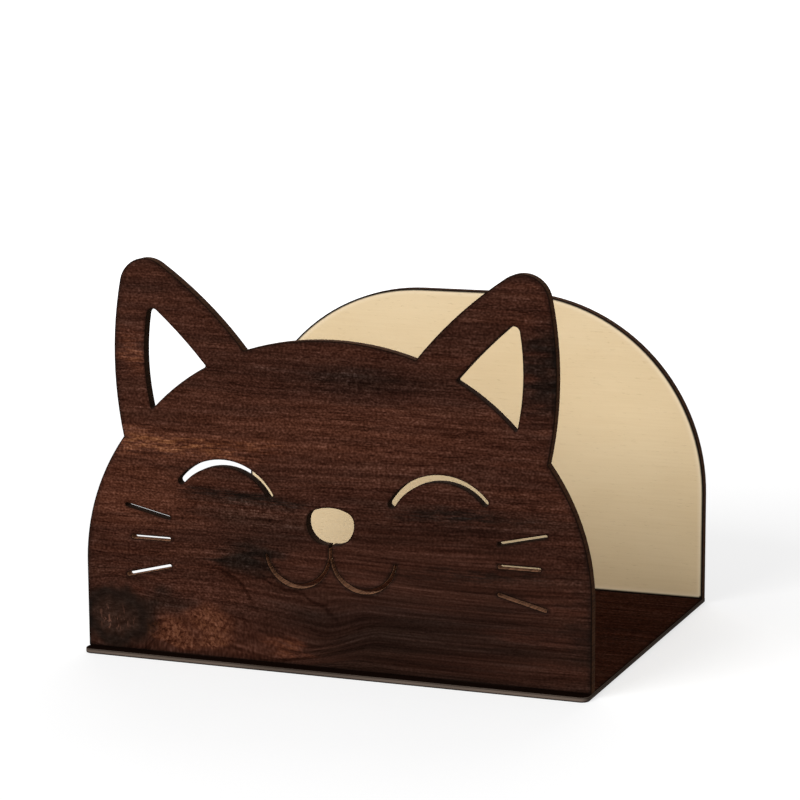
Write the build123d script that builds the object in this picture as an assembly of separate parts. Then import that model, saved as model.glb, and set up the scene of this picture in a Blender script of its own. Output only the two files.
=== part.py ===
from build123d import *
import os
from math import sqrt

# Napkin holder of three laser-cut sheets: a front panel in the outline of a cat's head, a plain back panel
# with round shoulders and a thin base. Each sheet is a light board with a walnut veneer on one face.
# Millimetres. The front faces -Y, +Z is up, and the origin is under the middle of the base.

# Overall sizes
panel_width = 170.0         # panels and base, side to side
stand_depth = 130.5         # outer face to outer face of the two panels
front_lip = 4.3             # base in front of the front panel

# Sheets
panel_board_thickness = 3.0
base_board_thickness = 1.2
veneer_thickness = 0.5

# Head: straight sides with half an ellipse on top
side_height = 27.6          # straight part of the sides, above the base
dome_rise = 75.9            # half ellipse above the straight sides

# Back panel: as tall as the head, without ears
back_top_flat = 36.0        # straight top between the round shoulders

# Ears: two bowed sides that would meet in a point, which is then rounded
ear_setback = 14.1          # side of the panel to the outer foot of the ear
ear_width = 42.3            # outer foot to inner root
ear_lean = 2.9              # point inwards of the outer foot
ear_rise = 62.1             # point above the outer foot
ear_outer_bow = 4.0
ear_inner_bow = 2.5
ear_tip_radius = 8.9

# Ear windows: a bowed triangle on the line of the dome
window_outer_rim = 10.0     # outer foot of the ear to the lowest corner
window_inner_rim = 13.0     # inner root of the ear to the inner corner
window_outer_sink = 2.0     # lowest corner below the dome
window_inner_sink = 0.4     # inner corner below the dome
window_top_drop = 19.0      # top corner below the point of the ear
window_top_inset = 6.8      # top corner inwards of the point of the ear
window_outer_bow = 1.9
window_slope_bow = 0.6
window_dome_bow = 1.0
window_tip_radius = 2.0
window_corner_radius = 0.5

# Closed eyes: arched slots
eye_spacing = 73.3          # between the centres of the two arches
eye_centre_height = 44.1    # centre of the arch above the base
eye_radius = 18.85          # middle of the slot
eye_slot = 2.2
eye_sweep = 108.0           # degrees, between the centres of the rounded ends
eye_tilt = 5.0              # degrees, outer end raised

# Nose: a bowed triangle, point down
nose_bottom = 39.6          # point above the base
nose_span = 14.2            # between the upper corners
nose_height = 9.7           # upper corners above the point
nose_top_bow = 1.95
nose_side_bow = 3.8
nose_corner_radius = 3.5

# Mouth: two crescents that meet in a slot under the nose
mouth_centre_height = 35.9  # centres of the crescents above the base
mouth_radius = 11.05        # outer edge of a crescent
mouth_slot = 1.4            # width at the lowest point
mouth_tip_slot = 0.7        # width level with the centre
mouth_tip_drop = 1.0        # outer tips below the centre
stem_slot = 1.0

# Whiskers: three straight slots a side, fanned out
whisker_setback = 30.0      # side of the panel to the inner ends
whisker_slot = 1.15
whisker_height = 37.1       # middle slot above the base
upper_whisker_rise = 6.9    # inner end of the upper slot above the middle one
lower_whisker_drop = 8.6    # inner end of the lower slot below the middle one
long_whisker = 16.2
short_whisker = 13.8
upper_whisker_tilt = 12.7   # degrees, outer end up
lower_whisker_tilt = 14.0   # degrees, outer end down

# Base, and the tabs of the panels in it
base_corner_radius = 2.6
base_edge_radius = 0.4
tab_width = 24.0
tab_spacing = 100.0         # between the middles of a panel's two tabs
tab_recess = 0.2            # ends of the tabs above the underside of the base
tab_clearance = 0.1         # between a tab and its slot, on each side

overrun = 1.0               # how far a cut runs past what it cuts

# Worked out from the sizes above
half_width = panel_width / 2
head_height = side_height + dome_rise
base_thickness = base_board_thickness + veneer_thickness
panel_thickness = panel_board_thickness + veneer_thickness
base_depth = front_lip + stand_depth
front_face = front_lip - base_depth / 2
back_face = base_depth / 2
tab_length = base_thickness - tab_recess


def dome_height(x):
    """Height of the dome above the base, at a distance from the middle of the panel."""
    return side_height + dome_rise * sqrt(1 - (x / half_width) ** 2)


def bowed_loop(corners, bows):
    """Closed outline, run anticlockwise, whose sides bow outwards by the given heights."""
    sides = []
    for index, bow in enumerate(bows):
        start = corners[index]
        end = corners[(index + 1) % len(corners)]
        sides.append(SagittaArc(start, end, -bow) if bow else Line(start, end))
    return make_face(sides)


def both_sides(sketch):
    """A sketch on the right half, and its mirror image on the left."""
    return sketch + mirror(sketch, about=Plane.YZ)


# Places on the right ear that the ear and its window share
ear_foot_x = half_width - ear_setback
ear_root_x = ear_foot_x - ear_width
ear_point = (ear_foot_x - ear_lean, dome_height(ear_foot_x) + ear_rise)


def head():
    """Straight sides and dome."""
    sides = Pos(0, side_height / 2) * Rectangle(panel_width, side_height)
    dome = Pos(0, side_height) * Ellipse(half_width, dome_rise)
    above = Pos(0, side_height + dome_rise / 2) * Rectangle(panel_width, dome_rise)
    return sides + (dome & above)


def ear():
    """Right ear, closed by a chord inside the dome."""
    foot = (ear_foot_x, dome_height(ear_foot_x))
    root = (ear_root_x, dome_height(ear_root_x))
    sharp = bowed_loop([foot, ear_point, root], [ear_outer_bow, ear_inner_bow, 0])
    return fillet(sharp.vertices().sort_by(Axis.Y)[-1], ear_tip_radius)


def ear_window():
    """Right ear's window: its lower side follows the dome."""
    low_x = ear_foot_x - window_outer_rim
    inner_x = ear_root_x + window_inner_rim
    low = (low_x, dome_height(low_x) - window_outer_sink)
    inner = (inner_x, dome_height(inner_x) - window_inner_sink)
    top = (ear_point[0] - window_top_inset, ear_point[1] - window_top_drop)
    sharp = bowed_loop([low, top, inner], [window_outer_bow, window_slope_bow, -window_dome_bow])
    rounded = fillet(sharp.vertices().sort_by(Axis.Y)[-1], window_tip_radius)
    lower_corners = [
        rounded.vertices().sort_by(Axis.Y)[0],
        rounded.vertices().sort_by(Axis.X)[0],
    ]
    return fillet(lower_corners, window_corner_radius)


def eye():
    """Right eye: an arched slot with round ends."""
    start = 90 + eye_tilt - eye_sweep / 2
    arch = CenterArc((eye_spacing / 2, eye_centre_height), eye_radius, start, eye_sweep)
    return SlotArc(arch, eye_slot)


def nose():
    """Bowed triangle with its upper corners rounded."""
    corner_height = nose_bottom + nose_height
    corners = [(0, nose_bottom), (nose_span / 2, corner_height), (-nose_span / 2, corner_height)]
    sharp = bowed_loop(corners, [nose_side_bow, nose_top_bow, nose_side_bow])
    return fillet(sharp.vertices().sort_by(Axis.Y)[1:], nose_corner_radius)


def mouth():
    """Two crescents, thickest below, and the slot that joins them to the nose."""
    outer = Pos(mouth_radius, mouth_centre_height) * Circle(mouth_radius)
    inner_raise = mouth_slot - mouth_tip_slot
    inner = Pos(mouth_radius, mouth_centre_height + inner_raise) * Circle(mouth_radius - mouth_tip_slot)
    tips = mouth_centre_height - mouth_tip_drop
    below = Pos(mouth_radius, tips - mouth_radius / 2) * Rectangle(2 * mouth_radius, mouth_radius)
    crescents = both_sides((outer - inner) & below)
    stem_top = nose_bottom + nose_height / 2
    stem = Pos(0, (stem_top + tips) / 2) * Rectangle(stem_slot, stem_top - tips)
    return crescents + stem


def whiskers():
    """Three fanned slots beside the right cheek."""
    rows = [
        (upper_whisker_rise, long_whisker, upper_whisker_tilt),
        (0, short_whisker, 0),
        (-lower_whisker_drop, long_whisker, -lower_whisker_tilt),
    ]
    slots = Sketch()
    for rise, length, tilt in rows:
        slot = Pos(length / 2, 0) * SlotOverall(length, whisker_slot)
        slots += Pos(half_width - whisker_setback, whisker_height + rise) * Rot(0, 0, tilt) * slot
    return slots


def tabs():
    """Tabs under a panel, one each side."""
    tab = Pos(tab_spacing / 2, -tab_length / 2) * Rectangle(tab_width, tab_length)
    return both_sides(tab)


def front_outline():
    """Cat's head with its ear windows and its face cut out."""
    sheet = head() + both_sides(ear()) + tabs()
    sheet -= both_sides(ear_window())
    sheet -= both_sides(eye())
    sheet -= both_sides(whiskers())
    return sheet - (nose() + mouth())


def back_outline():
    """Plain sheet with round shoulders."""
    sheet = Pos(0, head_height / 2) * Rectangle(panel_width, head_height)
    shoulder_radius = (panel_width - back_top_flat) / 2
    sheet = fillet(sheet.vertices().group_by(Axis.Y)[-1], shoulder_radius)
    return sheet + tabs()


def stand_up(outline, front, thickness):
    """Sheet of a given thickness that stands on the base with its front at the given depth."""
    plane = Plane((0, front + thickness, base_thickness), x_dir=(1, 0, 0), z_dir=(0, -1, 0))
    return extrude(plane * outline, thickness)


def base_outline():
    """Base with round front corners, closed slots in front and open notches behind."""
    sheet = Rectangle(panel_width, base_depth)
    sheet = fillet(sheet.vertices().group_by(Axis.Y)[0], base_corner_radius)
    slot_width = tab_width + 2 * tab_clearance
    slot_depth = panel_thickness + 2 * tab_clearance
    slot = Pos(tab_spacing / 2, front_face + panel_thickness / 2) * Rectangle(slot_width, slot_depth)
    notch_depth = panel_thickness + tab_clearance + overrun
    notch_middle = back_face + overrun - notch_depth / 2
    notch = Pos(tab_spacing / 2, notch_middle) * Rectangle(slot_width, notch_depth)
    return sheet - both_sides(slot) - both_sides(notch)


def rim_edges(sheet, height):
    """Edges round the front and the two sides of a flat sheet, at one height."""
    level = sheet.edges().filter_by_position(Axis.Z, height, height)
    outside = level.filter_by(lambda edge: abs(edge.center().X) > half_width - base_corner_radius)
    front = level.sort_by(Axis.Y)[0]
    return outside + [front]


def base_board():
    """Lower layer of the base, eased round its lower edge."""
    sheet = extrude(base_outline(), base_board_thickness)
    return fillet(rim_edges(sheet, 0), base_edge_radius)


def base_veneer():
    """Walnut layer of the base, eased round its upper edge."""
    sheet = Pos(0, 0, base_board_thickness) * extrude(base_outline(), veneer_thickness)
    return fillet(rim_edges(sheet, base_thickness), base_edge_radius)


front_board_face = front_face + veneer_thickness
back_board_face = back_face - panel_thickness
back_veneer_face = back_face - veneer_thickness

nodes = {
    "front_panel_board": stand_up(front_outline(), front_board_face, panel_board_thickness),
    "front_panel_veneer": stand_up(front_outline(), front_face, veneer_thickness),
    "back_panel_board": stand_up(back_outline(), back_board_face, panel_board_thickness),
    "back_panel_veneer": stand_up(back_outline(), back_veneer_face, veneer_thickness),
    "base_board": base_board(),
    "base_veneer": base_veneer(),
}

os.makedirs("parts", exist_ok=True)
for name, solid in nodes.items():
    export_step(solid, f"parts/{name}.step")
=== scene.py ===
import math
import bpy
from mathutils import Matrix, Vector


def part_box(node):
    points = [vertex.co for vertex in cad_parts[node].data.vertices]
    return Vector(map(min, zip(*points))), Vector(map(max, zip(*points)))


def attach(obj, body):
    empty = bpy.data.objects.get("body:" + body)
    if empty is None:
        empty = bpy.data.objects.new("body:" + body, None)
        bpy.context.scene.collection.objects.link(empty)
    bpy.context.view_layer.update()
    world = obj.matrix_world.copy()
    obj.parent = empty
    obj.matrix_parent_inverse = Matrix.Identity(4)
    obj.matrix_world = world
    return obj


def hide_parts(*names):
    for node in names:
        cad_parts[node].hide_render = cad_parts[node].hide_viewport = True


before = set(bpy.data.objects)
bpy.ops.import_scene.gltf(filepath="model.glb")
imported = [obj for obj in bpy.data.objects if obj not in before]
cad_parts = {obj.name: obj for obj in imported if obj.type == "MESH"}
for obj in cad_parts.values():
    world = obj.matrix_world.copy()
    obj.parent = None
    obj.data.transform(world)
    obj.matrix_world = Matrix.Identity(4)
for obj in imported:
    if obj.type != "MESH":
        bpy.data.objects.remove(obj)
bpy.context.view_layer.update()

from types import SimpleNamespace
from typing import NamedTuple

import bmesh
import bpy
import numpy as np
from mathutils import Matrix, Vector
from mathutils.geometry import delaunay_2d_cdt
from mathutils.kdtree import KDTree

# Napkin holder of three laser-cut sheets, a cat's head in front. Metres, in the frame of the model:
# the face looks along -Y, +Z is up, and the origin is under the middle of the base.

# Places and sizes taken from the model
veneer_low, veneer_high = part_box("front_panel_veneer")
half_width = veneer_high.x
panel_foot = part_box("base_veneer")[1].z
panel_height = veneer_high.z - panel_foot
lip_back = veneer_low.y

# Camera: place, angles in degrees, and focal length and sensor in millimetres
camera_place = (0.3219, -0.82336, 0.22769)
camera_turn = 21.432
camera_dip = 9.688
camera_roll = -0.302
camera_lens = 122.55
camera_sensor = 36.0

# Light
floor_reach = 30.0
key_place = (-0.95, -2.10, 1.45)
key_size = 1.3
key_power = 57.0
fill_place = (1.6, -1.6, 0.9)
fill_size = 1.6
fill_power = 8.5
rear_place = (-0.5, 1.9, 1.5)
rear_size = 1.8
rear_power = 24.0
light_aim = (0.0, 0.0, 0.05)
sky_strength = 0.36
floor_colour = (0.42, 0.42, 0.42)
floor_lift = 0.62            # what the camera sees added to the lit floor
floor_near = 0.22            # from here to the next distance the floor turns plain white
floor_far = 0.90

# Cut sheets
arris_radius = 0.00022       # easing of the cut edges on the visible face
arris_steps = 3
thin_share = 0.45            # most of the half width of a thin place that the easing takes
mitre_limit = 0.3            # keeps the points of sharp corners from moving too far
triangles_inside = 1         # kind of filling: triangles, none of them outside
outline_step = 0.0012        # longest straight run of an outline
rim_step = 0.0010            # mesh points near the outline
rim_gap_share = 0.7          # clear strip along the outline, as a share of that step
inner_step = 0.0050          # mesh points away from the outline
rim_width = 0.0035           # how far the fine points reach
measure_step = 0.00025       # points of the outline that distances are measured from
touch = 0.000001             # points nearer than this are one
flat_share = 0.99            # how squarely a flat face looks out of the sheet
smooth_angle = 35.0          # degrees, sharper corners stay sharp


class Pattern(NamedTuple):
    """Cloudy pattern, with sizes along the grain, through the sheet and across the grain.

    It swings so far to each side of zero, or makes spots that begin at the first value of its span and
    are full at the second.
    """

    sizes: tuple
    detail: float = 2.0
    roughness: float = 0.5
    distortion: float = 0.0
    swing: float = 1.0
    span: tuple = (0.0, 1.0)


# Patterns of plain walnut
wander_pattern = Pattern((0.110, 0.050, 0.030), detail=1.0, swing=0.0035)
band_pattern = Pattern((0.220, 0.050, 0.0080), detail=3.0, roughness=0.6, swing=0.11)
stripe_pattern = Pattern((0.070, 0.020, 0.0030), roughness=0.65, swing=0.16)
line_pattern = Pattern((0.045, 0.010, 0.0007), detail=1.0, swing=0.60)
fibre_pattern = Pattern((0.016, 0.004, 0.0013), roughness=0.75, swing=0.70)
speckle_pattern = Pattern((0.0026, 0.0020, 0.0014), roughness=0.8, swing=0.55)
grit_pattern = Pattern((0.0008, 0.0010, 0.0006), detail=0.0, swing=0.95)
dust_pattern = Pattern((0.0007, 0.0007, 0.0006), detail=0.0, span=(0.76, 0.86))
pore_pattern = Pattern((0.0056, 0.002, 0.00038), detail=1.0, span=(0.58, 0.68))
crowd_pattern = Pattern((0.030, 0.020, 0.0060), detail=1.0, span=(0.35, 0.65))
hue_pattern = Pattern((0.034, 0.020, 0.0055), detail=3.0, roughness=0.6, swing=0.7)

# Patterns of the streaks, the arches and the knot
broken_pattern = Pattern((0.007, 0.010, 0.0007), detail=3.0, roughness=0.7, span=(0.36, 0.62))
sway_pattern = Pattern((0.020, 0.020, 0.0040), detail=3.0, swing=0.020)
drift_pattern = Pattern((0.040, 0.020, 0.0120), detail=3.0, swing=0.006)
mottle_pattern = Pattern((0.0011, 0.0020, 0.0012), roughness=0.6, swing=1.3)
arch_pattern = Pattern((0.012, 0.020, 0.010), swing=0.0035)
burl_pattern = Pattern((0.0011, 0.0020, 0.0011), roughness=0.65, distortion=0.6, swing=2.3)
swirl_pattern = Pattern((0.0024, 0.0020, 0.0060), distortion=1.0, swing=0.7)
knot_pattern = Pattern((0.012, 0.020, 0.0090), detail=3.0, swing=0.0060)
knot_grain_pattern = Pattern((0.0022, 0.0020, 0.0009), roughness=0.7, swing=1.3)
fleck_pattern = Pattern((0.0010, 0.0020, 0.0026), distortion=0.8, span=(0.55, 0.66))

# Patterns of the cut walls and of the board
cut_line_pattern = Pattern((0.0006, 0.020, 0.0006), span=(0.62, 0.30))
highlight_pattern = Pattern((0.050, 0.050, 0.020), span=(0.25, 0.65))
cloud_pattern = Pattern((0.060, 0.060, 0.030), detail=3.0)
hair_pattern = Pattern((0.020, 0.020, 0.0007), detail=3.0, roughness=0.6)
speck_pattern = Pattern((0.0025, 0.0025, 0.0004), detail=1.0, span=(0.66, 0.76))

# Plain walnut
walnut_mean = 0.42           # place of the plain wood on the lists of its colours
cold_mean = 0.04             # part of the greyer wood
mark_shares = (1.0, 1.25, 1.45)    # how much the small marks change red, green and blue
dust_strength = 0.6
pore_strength = 0.65
crowd_range = (0.3, 1.0)     # pores outside their crowds and inside them
calm_line_range = (1.0, 1.7)       # lines in common wood and in calm wood
calm_mark_range = (1.0, 0.4)       # other marks in common wood and in calm wood
base_calm = 0.4
base_darkening = 0.08
walnut_roughness = 0.60
pore_roughness = 0.2         # added in the pores
walnut_relief = 0.00006
mark_relief = 0.3            # relief of the small marks against that of the pores
panel_gloss = 0.02
base_gloss = 0.0

# Board
cloud_part = 0.65            # part of the clouds in its tone; the fibres have the rest
board_tone_span = (0.30, 0.70)
speck_strength = 0.22
board_roughness = 0.7
board_relief = 0.00003
board_gloss = 0.05

# Marks of the cutting beam, from where they fade out to where they are full
halo_reach = (0.0022, 0.0003)
halo_strength = 0.12
char_reach = (0.00065, 0.00012)
# The next value also sets how dark the painted shade on the base's lip is
char_and_lip_shade_strength = 0.9
board_halo_reach = (0.0026, 0.0010)
board_halo_strength = 0.6
board_char_reach = (0.0011, 0.0004)
cut_out_narrowing = 1.3      # how much thinner the marks round the cut-outs are
thin_slot_narrowing = 0.3
thin_slot_share = 0.303      # height below which the cut-outs are thin slots

# Cut walls: how much a face looks the sheet's way where the wall begins and where it is full
panel_wall_span = (0.75, 0.30)
base_wall_span = (0.85, 0.45)
cut_line_strength = 0.6
base_line_strength = 0.4
cut_roughness = 1.0

# Painted highlight on the rim of the base: brightest at mid height of the rounded front edge, weaker on the
# sides, and along the top arris
highlight_height_shares = (0.80, 0.20)   # distance from mid height, of half the thickness
side_highlight = 0.40              # sides against the front
arris_span = (0.10, 0.40)
arris_highlight = 0.8
highlight_range = (0.5, 1.0)

# Figure of the front panel's wood, with painted shade at the lower right: place and reach as shares, change
# of tone, more or less greyer wood
zone_shares = [
    (0.00, 0.590, 1.00, 0.110, 0.10, -0.20),
    (0.48, 0.340, 0.85, 0.120, -0.09, -0.02),
    # Partly the wood's darker tone and partly painted shade: darker towards the bottom right
    (0.38, 0.090, 1.00, 0.220, -0.24, 0.25),
    (-0.80, 0.400, 0.36, 0.140, 0.18, -0.15),
    (-0.22, 0.340, 0.36, 0.070, -0.12, 0.15),
    (-0.33, 0.257, 0.16, 0.066, -0.34, 0.60),
    (0.16, 0.716, 0.55, 0.075, -0.16, 0.15),
    (0.81, 0.775, 0.15, 0.180, -0.33, 0.30),
    # Partly the wood's darker tone and partly painted shade: darker along the lower right edge
    (0.99, 0.180, 0.10, 0.260, -0.12, 0.10),
]
streak_shares = [
    (-0.62, 0.535, 0.58, 0.055, 0.36, -0.20),
    (-0.81, 0.765, 0.10, 0.080, 0.26, -0.20),
    (-0.36, 0.413, 0.42, 0.026, -0.22, 0.45),
    (-0.30, 0.375, 0.42, 0.042, 0.09, 0.40),
    (0.50, 0.397, 0.42, 0.036, -0.18, 0.35),
    (0.60, 0.267, 0.45, 0.034, -0.14, 0.25),
    (0.78, 0.115, 0.24, 0.032, 0.08, -0.20),
    (-0.19, 0.045, 0.14, 0.036, 0.28, -0.30),
]
smoke_shares = [
    (-0.770, 0.080, 0.110, 0.075, -0.30, 0.70),
    (-0.690, 0.130, 0.230, 0.048, -0.18, 0.45),
]
spot_soft = 0.15             # inner part of a spot that is full
broken_range = (0.3, 1.5)    # strength of the streaks where they are broken and where they are whole

# Figure of the back panel's wood, in the same way
back_zone_shares = [
    (0.35, 0.560, 0.90, 0.130, 0.10, -0.15),
    (-0.50, 0.300, 0.90, 0.160, -0.12, 0.20),
    (0.65, 0.140, 0.80, 0.130, 0.10, -0.10),
]
back_streak_shares = [
    (-0.30, 0.480, 0.95, 0.050, -0.26, 0.35),
    (0.50, 0.375, 0.70, 0.036, -0.24, 0.30),
    (-0.25, 0.640, 0.75, 0.050, 0.28, -0.15),
    (0.05, 0.235, 1.00, 0.040, 0.26, -0.20),
    (-0.60, 0.115, 0.50, 0.036, 0.22, -0.20),
]

# Mottled and calm wood on the front panel: place and reach as shares
mottled_shares = [
    (-0.32, 0.385, 0.46, 0.060),
    (0.06, 0.718, 0.52, 0.080),
    (0.81, 0.775, 0.16, 0.170),
    (-0.33, 0.257, 0.16, 0.066),
]
calm_shares = (0.42, 0.12, 1.00, 0.33)
calm_soft = 0.3

# Dark knot: place and reach as shares, and its rings as shares of that reach
knot_shares = (-0.885, 0.082, 0.130, 0.066)
knot_rim_shares = (1.45, 0.85)
ring_outer_shares = (1.25, 0.95)
ring_inner_shares = (0.55, 0.85)
core_shares = (0.66, 0.25)
knot_tone = 0.23
core_lightening = 0.06
ring_darkening = 0.12
knot_cold = 0.75
fleck_strength = 0.8
parting_shares = (2.0, 2.6)  # reach of the fibres that part round it, in its own reaches
parting_soft = 0.0
parting_strength = 0.8

# Nested arches of the grain beside the knot: middle and reach as shares
arch_shares = [
    (-0.590, 0.125, 0.285, 0.115),
    (-0.620, 0.100, 0.660, 0.125),
]
arch_line_reach = (0.0005, 0.0001)
arch_line_strength = 0.7
arch_line_side_shares = (0.0, 0.5)
arch_line_top_shares = (0.0, 0.4)
arch_bend_shares = (1.25, 1.3)     # reach of the fibres that follow the outer arch, in its own reaches
arch_bend_soft = 0.7
arch_bend_strength = 0.35

# Curly wood inside the first arch: its orange lobes, and where it ends as shares of the arch's reach
burl_shares = [
    (-0.650, 0.030, 0.140, 0.100),
    (-0.470, 0.020, 0.135, 0.075),
    (-0.490, 0.090, 0.130, 0.060),
]
burl_soft = 0.35
burl_rim_shares = (1.04, 0.94)
burl_side_shares = (-1.0, -0.4)
burl_top_shares = (1.0, 0.2)
burl_tone = 0.64
burl_warming = 0.4
burl_mark_limit = 0.5        # most that its specks lighten
burl_mark_strength = 0.7     # the plain wood's marks on it
glint_span = (-0.6, 1.4)
glint_strength = 0.4

# Curve from display values to light: straight at first, then a power
display_steps = 255
straight_end = 0.04045
straight_slope = 12.92
curve_offset = 0.055
curve_power = 2.4


def tint(red, green, blue):
    """Linear colour from the three values of a display colour, 0 to 255."""
    linear = []
    for value in (red, green, blue):
        part = value / display_steps
        curved = ((part + curve_offset) / (1 + curve_offset)) ** curve_power
        linear.append(part / straight_slope if part <= straight_end else curved)
    return (*linear, 1.0)


# Colours, as display values; the red-brown wood's and the greyer wood's run from dark grain to light
warm_stops = [
    (0.00, tint(20, 12, 8)),
    (0.20, tint(37, 20, 14)),
    (0.40, tint(56, 30, 21)),
    (0.60, tint(76, 42, 29)),
    (0.80, tint(96, 56, 37)),
    (1.00, tint(126, 80, 52)),
]
cold_stops = [
    (0.00, tint(18, 14, 11)),
    (0.20, tint(35, 23, 17)),
    (0.40, tint(53, 35, 27)),
    (0.60, tint(71, 48, 38)),
    (0.80, tint(91, 63, 49)),
    (1.00, tint(120, 85, 66)),
]
fleck_colour = tint(104, 70, 57)
burl_colour = tint(102, 61, 36)
# Near-black of burnt cuts, also used as painted shade on the base's lip
char_and_shade_colour = tint(15, 8, 5)
cut_colour = tint(64, 40, 24)
# Walls of the cut-outs: the cut wall's colour darkened as painted shade
slot_painted_shade_colour = tint(42, 26, 16)
# Walls of the thin slots: lightened as painted light
thin_slot_painted_light_colour = tint(146, 104, 78)
base_cut_colour = tint(27, 21, 17)
# Painted highlight on the base's rim
painted_highlight_colour = tint(110, 96, 86)
board_colour = tint(231, 209, 171)
board_warm = tint(224, 200, 160)
board_pale = tint(240, 221, 190)
board_speck = tint(186, 158, 116)


class Shade:
    """Node tree of one material, put together socket by socket."""

    def __init__(self, name):
        self.material = bpy.data.materials.new(name)
        self.material.use_nodes = True
        self.tree = self.material.node_tree
        self.tree.nodes.clear()
        self.place = self.node("ShaderNodeTexCoord")

    def node(self, kind, **settings):
        made = self.tree.nodes.new(kind)
        for name, value in settings.items():
            setattr(made, name, value)
        return made

    def put(self, socket, value):
        """Gives a socket a fixed value or what another socket sends."""
        if isinstance(value, bpy.types.NodeSocket):
            self.tree.links.new(value, socket)
        else:
            socket.default_value = value

    def math(self, operation, *values):
        made = self.node("ShaderNodeMath", operation=operation)
        for socket, value in zip(made.inputs, values):
            self.put(socket, value)
        return made.outputs[0]

    def add(self, first, *others):
        for other in others:
            first = self.math("ADD", first, other)
        return first

    def times(self, first, *others):
        for other in others:
            first = self.math("MULTIPLY", first, other)
        return first

    def less(self, first, second):
        return self.math("SUBTRACT", first, second)

    def rest(self, value):
        return self.math("SUBTRACT", 1.0, value)

    def split(self, vector):
        made = self.node("ShaderNodeSeparateXYZ")
        self.put(made.inputs[0], vector)
        return made.outputs

    def join(self, x, y, z):
        made = self.node("ShaderNodeCombineXYZ")
        for socket, value in zip(made.inputs, (x, y, z)):
            self.put(socket, value)
        return made.outputs[0]

    def stored(self, name):
        """Value stored on the mesh."""
        return self.node("ShaderNodeAttribute", attribute_name=name).outputs["Fac"]

    def noise(self, point, pattern):
        """Cloudy pattern, 0 to 1 about 0.5."""
        scaled = self.node("ShaderNodeVectorMath", operation="DIVIDE")
        self.put(scaled.inputs[0], point)
        self.put(scaled.inputs[1], pattern.sizes)
        made = self.node("ShaderNodeTexNoise")
        self.put(made.inputs["Vector"], scaled.outputs[0])
        self.put(made.inputs["Scale"], 1.0)
        self.put(made.inputs["Detail"], pattern.detail)
        self.put(made.inputs["Roughness"], pattern.roughness)
        self.put(made.inputs["Distortion"], pattern.distortion)
        return made.outputs["Fac"]

    def swing(self, point, pattern):
        """The pattern about zero, as far as its swing to each side."""
        return self.times(self.less(self.noise(point, pattern), 0.5), 2 * pattern.swing)

    def spots(self, point, pattern):
        """The pattern's spots, 0 between them and 1 inside."""
        return self.step(self.noise(point, pattern), *pattern.span)

    def step(self, value, low, high):
        """Smooth step from 0 at the low value to 1 at the high one."""
        made = self.node("ShaderNodeMapRange", interpolation_type="SMOOTHSTEP")
        for name, given in (("Value", value), ("From Min", low), ("From Max", high)):
            self.put(made.inputs[name], given)
        return made.outputs["Result"]

    def blend(self, share, first, second):
        """Colour that goes from the first to the second with the share."""
        made = self.node("ShaderNodeMix", data_type="RGBA")
        for index, value in ((0, share), (6, first), (7, second)):
            self.put(made.inputs[index], value)
        return made.outputs[2]

    def between(self, share, first, second):
        """Number that goes from the first to the second with the share."""
        made = self.node("ShaderNodeMix", data_type="FLOAT")
        for index, value in ((0, share), (2, first), (3, second)):
            self.put(made.inputs[index], value)
        return made.outputs[0]

    def marked(self, colour, marks):
        """Colour made darker and lighter by small marks, which change blue the most and red the least."""
        made = self.node("ShaderNodeVectorMath", operation="MULTIPLY")
        strengths = [self.math("EXPONENT", self.times(marks, share)) for share in mark_shares]
        self.put(made.inputs[0], colour)
        self.put(made.inputs[1], self.join(*strengths))
        return made.outputs[0]

    def ramp(self, value, stops):
        """Colour read from a list of (place, colour)."""
        made = self.node("ShaderNodeValToRGB")
        self.put(made.inputs[0], value)
        elements = made.color_ramp.elements
        while len(elements) < len(stops):
            elements.new(1.0)
        for element, (place, colour) in zip(elements, stops):
            element.position = place
            element.color = colour
        return made.outputs[0]

    def distance(self, across, up):
        """Length of a line with these two parts."""
        return self.math("SQRT", self.add(self.times(across, across), self.times(up, up)))

    def oval(self, across, up, place, reach):
        """Distance from a place: 1 on the oval with the given reach."""
        off_across = self.math("DIVIDE", self.less(across, place[0]), reach[0])
        off_up = self.math("DIVIDE", self.less(up, place[1]), reach[1])
        return self.distance(off_across, off_up)

    def patch(self, across, up, place, reach, soft=spot_soft):
        """Soft oval spot: 1 in the middle of a place and 0 past its reach."""
        return self.step(self.oval(across, up, place, reach), 1.0, soft)

    def finish(self, colour, roughness, height, depth, gloss):
        """Surface with this colour, roughness, gloss and relief."""
        bump = self.node("ShaderNodeBump")
        bump.inputs["Strength"].default_value = 1.0
        bump.inputs["Distance"].default_value = depth
        self.put(bump.inputs["Height"], height)
        surface = self.node("ShaderNodeBsdfPrincipled")
        self.put(surface.inputs["Base Color"], colour)
        self.put(surface.inputs["Roughness"], roughness)
        surface.inputs["Specular IOR Level"].default_value = gloss
        self.put(surface.inputs["Normal"], bump.outputs[0])
        output = self.node("ShaderNodeOutputMaterial")
        self.put(output.inputs["Surface"], surface.outputs[0])
        return self.material


def panel_spot(shares):
    """Place and reach on a panel, from shares of the front panel's half width and height."""
    across, up, reach_across, reach_up = shares[:4]
    place = (across * half_width, panel_foot + up * panel_height)
    reach = (reach_across * half_width, reach_up * panel_height)
    return place, reach


def grown(reach, shares):
    """A reach made larger or smaller in its two directions."""
    return reach[0] * shares[0], reach[1] * shares[1]


def from_middle(middle, reach, shares):
    """Two places, as shares of a reach from the middle."""
    return [middle + share * reach for share in shares]


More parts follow.
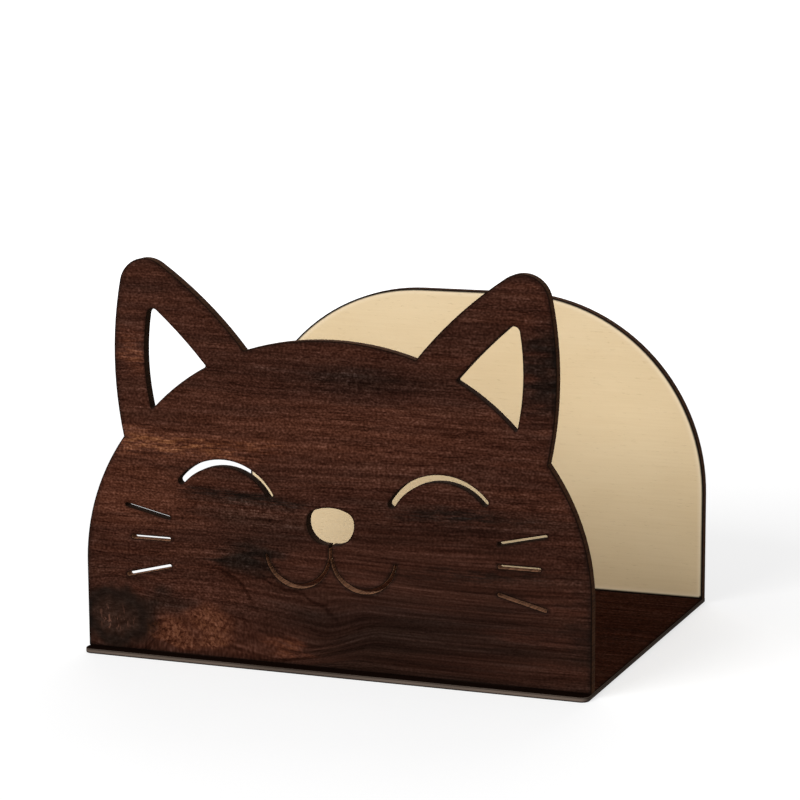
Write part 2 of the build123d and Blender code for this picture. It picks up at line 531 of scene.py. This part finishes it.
def grain(shade, along, depth, across, arched=False):
    """Point on the grain: the fibres wander a little, part round the knot and close in arches beside it."""
    bent = shade.add(across, shade.swing(shade.join(along, depth, across), wander_pattern))
    if arched:
        place, reach = panel_spot(knot_shares)
        near = shade.patch(along, across, place, grown(reach, parting_shares), parting_soft)
        bent = shade.less(bent, shade.times(shade.less(across, place[1]), near, parting_strength))
        place, reach = panel_spot(arch_shares[1])
        level = shade.times(shade.oval(along, across, place, reach), reach[1])
        inside = shade.patch(along, across, place, grown(reach, arch_bend_shares), arch_bend_soft)
        lifted = shade.less(shade.add(level, place[1]), bent)
        bent = shade.add(bent, shade.times(inside, lifted, arch_bend_strength))
    return shade.join(along, depth, bent)


def plain_walnut(shade, point, calm=0.0):
    """Straight-grained walnut: tone, part of greyer wood, small marks and pores.

    Calm wood has stronger lines, and its other marks are weaker.
    """
    lines = shade.swing(point, line_pattern)
    pores = shade.times(
        shade.spots(point, pore_pattern),
        shade.between(shade.spots(point, crowd_pattern), *crowd_range),
    )
    marks = shade.add(
        shade.swing(point, fibre_pattern),
        shade.swing(point, speckle_pattern),
        shade.swing(point, grit_pattern),
        shade.times(shade.spots(point, dust_pattern), dust_strength),
        shade.times(pores, -pore_strength),
    )
    return SimpleNamespace(
        tone=shade.add(shade.swing(point, band_pattern), shade.swing(point, stripe_pattern), walnut_mean),
        cold=shade.add(shade.swing(point, hue_pattern), cold_mean),
        marks=shade.add(
            shade.times(lines, shade.between(calm, *calm_line_range)),
            shade.times(marks, shade.between(calm, *calm_mark_range)),
        ),
        pores=pores,
    )


def cut_wall(shade, plain, strength=cut_line_strength):
    """Colour of a burnt cut: fine dark lines across the thickness on a plain colour."""
    lines = shade.spots(shade.place.outputs["Object"], cut_line_pattern)
    return shade.blend(shade.times(lines, strength), plain, char_and_shade_colour)


def panel_edge(shade):
    """Cut wall, its colour with painted shade in the cut-outs and painted light in the thin slots, and
    distance to the outline or to the foot, on a panel.
    """
    facing = shade.split(shade.place.outputs["Normal"])[1]
    wall = shade.step(shade.math("ABSOLUTE", facing), *panel_wall_span)
    in_cut_out = shade.stored("in_cut_out")
    height = shade.split(shade.place.outputs["Object"])[2]
    thin_top = panel_foot + thin_slot_share * panel_height
    # The thin slots low on the face get a lighter wall colour as painted light
    thin = shade.step(height, thin_top, thin_top - touch)
    slot_painted_colour = shade.blend(thin, slot_painted_shade_colour, thin_slot_painted_light_colour)
    # Cut-out walls get the darker colour as painted shade
    colour = shade.blend(in_cut_out, cut_wall(shade, cut_colour), cut_wall(shade, slot_painted_colour))
    narrowing = shade.between(thin, cut_out_narrowing, thin_slot_narrowing)
    rim = shade.stored("outline_distance")
    rim = shade.add(rim, shade.times(rim, in_cut_out, narrowing))
    foot = shade.math("ABSOLUTE", shade.less(height, panel_foot))
    return wall, colour, shade.math("MINIMUM", rim, foot)


def base_edge(shade):
    """Cut wall, its colour with a painted highlight on the rim, and distance to the sides or to the panel,
    on the base.
    """
    place = shade.place.outputs["Object"]
    x, y, z = shade.split(place)
    normal = shade.split(shade.place.outputs["Normal"])
    across, ahead, up = [shade.math("ABSOLUTE", part) for part in normal]
    wall = shade.step(up, *base_wall_span)
    middle = panel_foot / 2
    off_middle = shade.math("DIVIDE", shade.math("ABSOLUTE", shade.less(z, middle)), middle)
    # Painted highlight: the front edge brighter at mid height, the sides less, the top arris too, uneven
    # along the rim
    outward = shade.math("MAXIMUM", ahead, shade.times(across, side_highlight))
    front = shade.times(shade.step(off_middle, *highlight_height_shares), outward)
    arris = shade.times(shade.step(up, *arris_span), shade.step(z, middle, panel_foot), arris_highlight)
    highlight_unevenness = shade.between(shade.spots(place, highlight_pattern), *highlight_range)
    painted_highlight = shade.times(shade.math("MAXIMUM", front, arris), highlight_unevenness)
    colour = shade.blend(painted_highlight, cut_wall(shade, base_cut_colour, base_line_strength), painted_highlight_colour)
    sides = shade.less(half_width, shade.math("ABSOLUTE", x))
    # The lip in front of the panel counts as on the outline and gets the full char colour: painted shade
    # under the panel
    painted_lip_shade_distance = shade.math("MAXIMUM", shade.less(y, lip_back), 0.0)
    return wall, colour, shade.math("MINIMUM", sides, painted_lip_shade_distance)


def walnut_finish(shade, wood, edge, gloss, extra=()):
    """Colour, sheen and relief of walnut; extra is a list of (share, colour) laid over the plain wood."""
    wall, wall_colour, distance = edge
    halo = shade.times(shade.step(distance, *halo_reach), halo_strength)
    # Burnt cut edges; on the base also painted shade over the whole lip in front of the panel
    char_and_lip_shade = shade.times(shade.step(distance, *char_reach), char_and_lip_shade_strength)
    tone = shade.less(wood.tone, halo)
    colour = shade.blend(wood.cold, shade.ramp(tone, warm_stops), shade.ramp(tone, cold_stops))
    colour = shade.marked(colour, wood.marks)
    for share, over in extra:
        colour = shade.blend(share, colour, over)
    colour = shade.blend(char_and_lip_shade, colour, char_and_shade_colour)
    colour = shade.blend(wall, colour, wall_colour)
    height = shade.less(shade.times(wood.marks, mark_relief), wood.pores)
    face_roughness = shade.add(walnut_roughness, shade.times(wood.pores, pore_roughness))
    roughness = shade.between(wall, face_roughness, cut_roughness)
    return shade.finish(colour, roughness, height, walnut_relief, gloss)


def tinge(shade, wood, spot, shares):
    """Changes the tone and the hue of the wood in a spot."""
    tone, cold = shares[4:]
    wood.tone = shade.add(wood.tone, shade.times(spot, tone))
    wood.cold = shade.add(wood.cold, shade.times(spot, cold))


def lay_streaks(shade, wood, point, zones, streaks, mottled=()):
    """Lays unbroken zones, broken light and dark streaks, and mottled patches over a panel's wood."""
    place = shade.place.outputs["Object"]
    x, _, z = shade.split(place)
    across = shade.add(x, shade.swing(place, sway_pattern))
    up = shade.add(z, shade.swing(place, drift_pattern))
    for shares in zones:
        tinge(shade, wood, shade.patch(across, up, *panel_spot(shares)), shares)
    broken = shade.between(shade.spots(point, broken_pattern), *broken_range)
    for shares in streaks:
        spot = shade.patch(across, up, *panel_spot(shares))
        tinge(shade, wood, shade.times(spot, broken), shares)
    mottle = shade.swing(place, mottle_pattern)
    for shares in mottled:
        spot = shade.patch(across, up, *panel_spot(shares))
        wood.marks = shade.add(wood.marks, shade.times(spot, mottle))


def swayed(shade, pattern):
    """Places across and up a panel, pushed about by a pattern."""
    place = shade.place.outputs["Object"]
    x, y, z = shade.split(place)
    across = shade.add(x, shade.swing(place, pattern))
    up = shade.add(z, shade.swing(shade.join(z, y, x), pattern))
    return across, up


def lay_burl(shade, wood, across, up):
    """Lays curly wood with orange lobes inside the first arch, and gives the mask of its bright glints."""
    place = shade.place.outputs["Object"]
    spot, reach = panel_spot(arch_shares[0])
    inside = shade.times(
        shade.step(shade.oval(across, up, spot, reach), *burl_rim_shares),
        shade.step(shade.split(place)[0], *from_middle(spot[0], reach[0], burl_side_shares)),
        shade.step(up, *from_middle(spot[1], reach[1], burl_top_shares)),
    )
    orange = 0.0
    for shares in burl_shares:
        lobe = shade.patch(across, up, *panel_spot(shares), burl_soft)
        orange = shade.math("MAXIMUM", orange, shade.times(lobe, inside))
    mottle = shade.swing(place, burl_pattern)
    swirl = shade.times(shade.swing(place, swirl_pattern), inside, shade.rest(orange))
    specks = shade.add(
        shade.math("MINIMUM", mottle, burl_mark_limit),
        shade.times(wood.marks, burl_mark_strength),
    )
    wood.marks = shade.add(shade.between(orange, wood.marks, specks), swirl)
    wood.tone = shade.between(orange, wood.tone, burl_tone)
    wood.cold = shade.less(wood.cold, shade.times(orange, burl_warming))
    return shade.times(orange, shade.step(mottle, *glint_span), glint_strength)


def lay_arches(shade, wood, across, up):
    """Lays a thin dark line along each of the nested arches, on their upper right."""
    x, _, z = shade.split(shade.place.outputs["Object"])
    for shares in arch_shares:
        spot, reach = panel_spot(shares)
        level = shade.oval(across, up, spot, reach)
        off = shade.times(shade.math("ABSOLUTE", shade.less(level, 1.0)), reach[1])
        line = shade.times(
            shade.step(off, *arch_line_reach),
            shade.step(x, *from_middle(spot[0], reach[0], arch_line_side_shares)),
            shade.step(z, *from_middle(spot[1], reach[1], arch_line_top_shares)),
        )
        wood.marks = shade.less(wood.marks, shade.times(line, arch_line_strength))


def lay_knot(shade, wood):
    """Lays the dark knot, a ragged ring that is browner inside, and gives the mask of its pale strokes."""
    place = shade.place.outputs["Object"]
    across, up = swayed(shade, knot_pattern)
    for shares in smoke_shares:
        tinge(shade, wood, shade.patch(across, up, *panel_spot(shares)), shares)
    level = shade.oval(across, up, *panel_spot(knot_shares))
    whole = shade.step(level, *knot_rim_shares)
    ring = shade.times(shade.step(level, *ring_inner_shares), shade.step(level, *ring_outer_shares))
    core = shade.step(level, *core_shares)
    tone = shade.add(shade.times(core, core_lightening), shade.times(ring, -ring_darkening), knot_tone)
    wood.tone = shade.between(whole, wood.tone, tone)
    wood.marks = shade.between(whole, wood.marks, shade.swing(place, knot_grain_pattern))
    wood.cold = shade.between(whole, wood.cold, knot_cold)
    return shade.times(shade.spots(place, fleck_pattern), core, fleck_strength)


def front_walnut():
    """Walnut of the front panel, with its streaks, arches and knot."""
    shade = Shade("front_walnut")
    x, y, z = shade.split(shade.place.outputs["Object"])
    point = grain(shade, x, y, z, arched=True)
    calm = shade.patch(x, z, *panel_spot(calm_shares), calm_soft)
    wood = plain_walnut(shade, point, calm)
    lay_streaks(shade, wood, point, zone_shares, streak_shares, mottled_shares)
    across, up = swayed(shade, arch_pattern)
    glints = lay_burl(shade, wood, across, up)
    lay_arches(shade, wood, across, up)
    strokes = lay_knot(shade, wood)
    extra = [(glints, burl_colour), (strokes, fleck_colour)]
    return walnut_finish(shade, wood, panel_edge(shade), panel_gloss, extra)


def back_walnut():
    """Walnut of the back panel's outer face."""
    shade = Shade("back_walnut")
    x, y, z = shade.split(shade.place.outputs["Object"])
    point = grain(shade, x, y, z)
    wood = plain_walnut(shade, point)
    lay_streaks(shade, wood, point, back_zone_shares, back_streak_shares)
    return walnut_finish(shade, wood, panel_edge(shade), panel_gloss)


def base_walnut():
    """Darker walnut of the base's top."""
    shade = Shade("base_walnut")
    x, y, z = shade.split(shade.place.outputs["Object"])
    wood = plain_walnut(shade, grain(shade, x, z, y), base_calm)
    wood.tone = shade.less(wood.tone, base_darkening)
    return walnut_finish(shade, wood, base_edge(shade), base_gloss)


def light_board(name, edge_kind):
    """Beige board: faint pale fibres and specks, a burnt line at the outline and burnt cuts."""
    shade = Shade(name)
    place = shade.place.outputs["Object"]
    cloud = shade.noise(place, cloud_pattern)
    hairs = shade.noise(place, hair_pattern)
    specks = shade.spots(place, speck_pattern)
    tone = shade.add(shade.times(cloud, cloud_part), shade.times(hairs, 1 - cloud_part))
    colour = shade.blend(shade.step(tone, *board_tone_span), board_warm, board_colour)
    colour = shade.blend(shade.times(specks, speck_strength), colour, board_speck)
    # edge_kind gives the cut wall's colour; base_edge puts the painted highlight on the base's rim
    wall, wall_colour, distance = edge_kind(shade)
    halo = shade.times(shade.step(distance, *board_halo_reach), board_halo_strength)
    colour = shade.blend(halo, colour, board_pale)
    colour = shade.blend(shade.step(distance, *board_char_reach), colour, char_and_shade_colour)
    colour = shade.blend(wall, colour, wall_colour)
    roughness = shade.between(wall, board_roughness, cut_roughness)
    return shade.finish(colour, roughness, shade.less(hairs, specks), board_relief, board_gloss)


def face_loops(node, facing):
    """Outlines of a sheet's flat face, the outer one first.

    Each is a closed list of (x, z) with the material on its left.
    """
    shell = bmesh.new()
    shell.from_mesh(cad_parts[node].data)
    bmesh.ops.remove_doubles(shell, verts=shell.verts, dist=touch)

    def is_flat(face):
        return face.normal.y * facing > flat_share

    following = {}
    for face in filter(is_flat, shell.faces):
        for loop in face.loops:
            if sum(map(is_flat, loop.edge.link_faces)) == 1:
                following[loop.vert] = loop.link_loop_next.vert
    loops = []
    while following:
        start, vertex = following.popitem()
        points = [start]
        while vertex is not start:
            points.append(vertex)
            vertex = following.pop(vertex)
        outline = np.array([(point.co.x, point.co.z) for point in points])
        loops.append(outline[::-1] if facing > 0 else outline)
    shell.free()
    return sorted(loops, key=lambda loop: -np.ptp(loop[:, 0]))


def divided(loop, longest):
    """The loop with points added on its long runs."""
    points = []
    for start, end in zip(loop, np.roll(loop, -1, axis=0)):
        count = max(1, math.ceil(np.linalg.norm(end - start) / longest))
        points.extend(start + (end - start) * index / count for index in range(count))
    return np.array(points)


def inward(loop):
    """Direction into the material at each point of a loop, longer at corners to move both sides alike."""
    ahead = np.roll(loop, -1, axis=0) - loop
    ahead /= np.linalg.norm(ahead, axis=1, keepdims=True)
    normal = np.stack([-ahead[:, 1], ahead[:, 0]], axis=1)
    before = np.roll(normal, 1, axis=0)
    spread = 1 + np.sum(normal * before, axis=1, keepdims=True)
    return (normal + before) / np.maximum(spread, mitre_limit)


def inset(loop, share):
    """The loop moved into the material by a share of the arris, or by less where the material is thin."""
    mitre = inward(loop)
    gaps = loop[None, :, :] - loop[:, None, :]
    depth = np.maximum(np.einsum("ijk,ik->ij", gaps, mitre), touch)
    room = np.sum(gaps ** 2, axis=2) / (2 * depth)
    np.fill_diagonal(room, np.inf)
    easing = np.minimum(arris_radius, thin_share * room.min(axis=1))
    return loop + mitre * share * easing[:, None]


def is_inside(points, loops):
    """Which points lie inside the outlines, holes taken out."""
    inside = np.zeros(len(points), bool)
    for loop in loops:
        for (x0, z0), (x1, z1) in zip(loop, np.roll(loop, -1, axis=0)):
            if z0 == z1:
                continue
            crosses = (points[:, 1] < z0) != (points[:, 1] < z1)
            at = x0 + (points[:, 1] - z0) * (x1 - x0) / (z1 - z0)
            inside ^= crosses & (points[:, 0] < at)
    return inside


def rim_tree(loops):
    """Search tree of closely spaced points along the outlines, each with the number of its outline."""
    lines = [divided(loop, measure_step) for loop in loops]
    tree = KDTree(sum(map(len, lines)))
    for number, line in enumerate(lines):
        for x, z in line:
            tree.insert((x, z, 0), number)
    tree.balance()
    return tree


def scattered(loops, tree):
    """Mesh points inside the outlines: close together near the rim and far apart away from it."""
    low = np.concatenate(loops).min(axis=0)
    high = np.concatenate(loops).max(axis=0)
    strips = [
        (rim_step, rim_gap_share * rim_step, rim_width),
        (inner_step, rim_width, math.inf),
    ]
    kept = []
    for spacing, near, far in strips:
        columns = np.arange(low[0], high[0], spacing)
        rows = np.arange(low[1], high[1], spacing)
        grid = []
        for index, z in enumerate(rows):
            shift = (index % 2) * spacing / 2
            grid.extend((x + shift, z) for x in columns)
        grid = np.array(grid)
        for x, z in grid[is_inside(grid, loops)]:
            if near < tree.find((x, z, 0))[2] <= far:
                kept.append((x, z))
    return kept


def filled(loops, extra):
    """Triangles that fill the outer outline and leave the cut-outs open, with extra points inside."""
    points = []
    outlines = []
    for loop in loops:
        places = list(range(len(points), len(points) + len(loop)))
        outlines.append(places[::-1] if outlines else places)
        points.extend(loop)
    points.extend(extra)
    made = delaunay_2d_cdt([Vector(point) for point in points], [], outlines, triangles_inside, touch)
    corners, _, triangles, _, _, owners = made
    return corners, [face for face, owner in zip(triangles, owners) if len(owner) == 1]


def add_wall(shell, loop, facing, face_y, back_y):
    """Adds the cut wall along an outline, eased where it meets the visible face."""
    angles = [math.pi / 2 * index / arris_steps for index in range(arris_steps + 1)]
    profile = [(1 - math.sin(angle), arris_radius * (1 - math.cos(angle))) for angle in angles]
    profile.append((0.0, abs(face_y - back_y)))
    rings = []
    for share, depth in profile:
        y = face_y - facing * depth
        rings.append([shell.verts.new((x, y, z)) for x, z in inset(loop, share)])
    for upper, lower in zip(rings, rings[1:]):
        for index in range(len(loop)):
            after = (index + 1) % len(loop)
            shell.faces.new((upper[index], upper[after], lower[after], lower[index]))


def add_face(shell, loops, extra, y):
    """Adds a flat face inside the outlines."""
    corners, triangles = filled(loops, extra)
    vertices = [shell.verts.new((x, y, z)) for x, z in corners]
    for triangle in triangles:
        shell.faces.new([vertices[index] for index in triangle])


def sheet_mesh(name, node, facing):
    """Mesh of a cut sheet, with the distance to the nearest outline, and whether that is a cut-out's."""
    low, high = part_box(node)
    face_y = high.y if facing > 0 else low.y
    back_y = low.y if facing > 0 else high.y
    loops = [divided(loop, outline_step) for loop in face_loops(node, facing)]
    tree = rim_tree(loops)
    shell = bmesh.new()
    for loop in loops:
        add_wall(shell, loop, facing, face_y, back_y)
    add_face(shell, [inset(loop, 1.0) for loop in loops], scattered(loops, tree), face_y)
    add_face(shell, loops, [], back_y)
    bmesh.ops.remove_doubles(shell, verts=shell.verts, dist=touch)
    bmesh.ops.recalc_face_normals(shell, faces=shell.faces)
    mesh = bpy.data.meshes.new(name)
    shell.to_mesh(mesh)
    shell.free()
    nearest = [tree.find((point.co.x, point.co.z, 0)) for point in mesh.vertices]
    stored = {
        "outline_distance": [distance for _, _, distance in nearest],
        "in_cut_out": [float(number > 0) for _, number, _ in nearest],
    }
    for key, values in stored.items():
        mesh.attributes.new(key, "FLOAT", "POINT").data.foreach_set("value", values)
    return mesh


def sheet(name, node, facing, material):
    """Cut sheet in place of a model node, its visible face eased along the outline."""
    mesh = sheet_mesh(name, node, facing)
    mesh.shade_smooth()
    mesh.set_sharp_from_angle(angle=math.radians(smooth_angle))
    mesh.materials.append(material)
    piece = bpy.data.objects.new(name, mesh)
    bpy.context.scene.collection.objects.link(piece)
    normals = piece.modifiers.new("even_normals", "WEIGHTED_NORMAL")
    normals.keep_sharp = True
    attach(piece, "root")
    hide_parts(node)


def dress(node, material):
    """Gives a model node its finish."""
    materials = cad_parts[node].data.materials
    materials.clear()
    materials.append(material)


def seen_rays(tree):
    """1 for what the camera sees directly, in a mirror or through glass, and 0 for light on other things."""
    path = tree.nodes.new("ShaderNodeLightPath")
    seen = path.outputs["Is Camera Ray"]
    for name in ("Is Glossy Ray", "Is Transmission Ray"):
        either = tree.nodes.new("ShaderNodeMath")
        either.operation = "MAXIMUM"
        tree.links.new(seen, either.inputs[0])
        tree.links.new(path.outputs[name], either.inputs[1])
        seen = either.outputs[0]
    return seen


def floor():
    """Plain pale floor that keeps the shadow."""
    mesh = bpy.data.meshes.new("floor")
    reach = floor_reach
    corners = [(-reach, -reach, 0), (reach, -reach, 0), (reach, reach, 0), (-reach, reach, 0)]
    mesh.from_pydata(corners, [], [(0, 1, 2, 3)])
    piece = bpy.data.objects.new("floor", mesh)
    bpy.context.scene.collection.objects.link(piece)
    shade = Shade("floor")
    lit = shade.node("ShaderNodeBsdfDiffuse")
    lit.inputs["Color"].default_value = (*floor_colour, 1.0)
    glow = shade.node("ShaderNodeEmission")
    x, y, _ = shade.split(shade.place.outputs["Object"])
    far = shade.step(shade.distance(x, y), floor_near, floor_far)
    lift = shade.between(far, floor_lift, 1.0)
    shade.put(glow.inputs["Strength"], shade.times(seen_rays(shade.tree), lift))
    both = shade.node("ShaderNodeAddShader")
    shade.put(both.inputs[0], lit.outputs[0])
    shade.put(both.inputs[1], glow.outputs[0])
    output = shade.node("ShaderNodeOutputMaterial")
    shade.put(output.inputs["Surface"], both.outputs[0])
    mesh.materials.append(shade.material)


def sky():
    """Even pale light from all round, white where it is seen."""
    world = bpy.data.worlds.new("sky")
    bpy.context.scene.world = world
    world.use_nodes = True
    tree = world.node_tree
    strength = tree.nodes.new("ShaderNodeMapRange")
    tree.links.new(seen_rays(tree), strength.inputs["Value"])
    strength.inputs["To Min"].default_value = sky_strength
    strength.inputs["To Max"].default_value = 1.0
    background = tree.nodes["Background"]
    background.inputs["Color"].default_value = (1, 1, 1, 1)
    tree.links.new(strength.outputs[0], background.inputs["Strength"])


def lamp(name, place, size, power):
    """Soft square lamp that faces the object."""
    data = bpy.data.lights.new(name, "AREA")
    data.size = size
    data.energy = power
    piece = bpy.data.objects.new(name, data)
    piece.location = place
    piece.rotation_euler = (Vector(light_aim) - Vector(place)).to_track_quat("-Z", "Y").to_euler()
    bpy.context.scene.collection.objects.link(piece)


def camera():
    """Camera at the photograph's place and angle."""
    data = bpy.data.cameras.new("camera")
    data.lens = camera_lens
    data.sensor_width = camera_sensor
    piece = bpy.data.objects.new("camera", data)
    turn = Matrix.Rotation(math.radians(camera_turn), 4, "Z")
    dip = Matrix.Rotation(math.radians(90 - camera_dip), 4, "X")
    roll = Matrix.Rotation(math.radians(camera_roll), 4, "Z")
    piece.matrix_world = Matrix.Translation(camera_place) @ turn @ dip @ roll
    bpy.context.scene.collection.objects.link(piece)
    bpy.context.scene.camera = piece


# The pieces: facing is the side along Y that the visible face looks to
panel_board = light_board("panel_board", panel_edge)
sheet("front_panel_face", "front_panel_veneer", -1, front_walnut())
sheet("front_panel_core", "front_panel_board", 1, panel_board)
sheet("back_panel_face", "back_panel_veneer", 1, back_walnut())
sheet("back_panel_core", "back_panel_board", -1, panel_board)
dress("base_veneer", base_walnut())
dress("base_board", light_board("base_underside", base_edge))

# What stands round them
floor()
sky()
lamp("key", key_place, key_size, key_power)
lamp("fill", fill_place, fill_size, fill_power)
lamp("rear", rear_place, rear_size, rear_power)
camera()
bpy.context.scene.view_settings.view_transform = "Standard"
